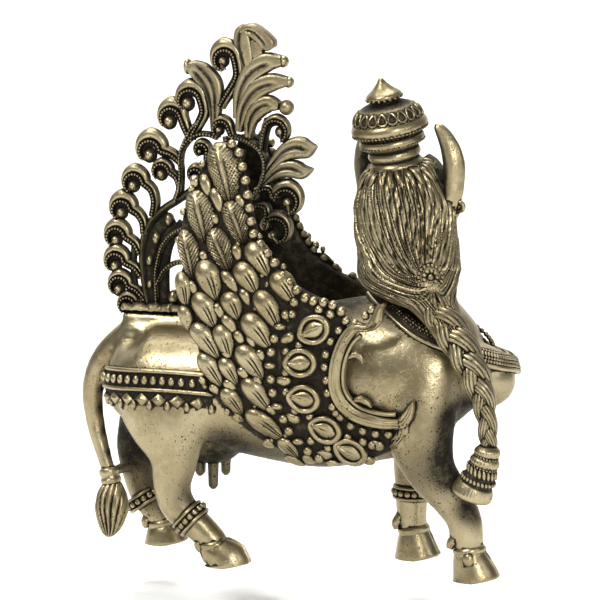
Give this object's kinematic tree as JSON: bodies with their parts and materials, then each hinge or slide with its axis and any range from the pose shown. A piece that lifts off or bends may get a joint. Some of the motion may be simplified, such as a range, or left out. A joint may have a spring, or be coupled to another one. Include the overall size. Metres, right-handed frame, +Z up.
{
  "type": "kamdhenu cow statue",
  "caption": "Cast brass figure of a walking winged cow with a woman's head and bust, a plaited tress over her shoulder and a pierced peacock-tail fan on her back.",
  "frame": {"origin": "on the ground, under the middle of the whole figure's outline", "axes": "+X the way the cow walks, +Y her left, +Z up"},
  "size_m": [0.1246, 0.046, 0.1492],
  "materials": {
    "antique_brass": "cast, rubbed bright on the high spots over a dark antique patina"
  },
  "bodies": {
    "root": {"kamdhenu_cow": "antique_brass", "peacock_tail_fan": "antique_brass"}
  },
  "joints": []
}
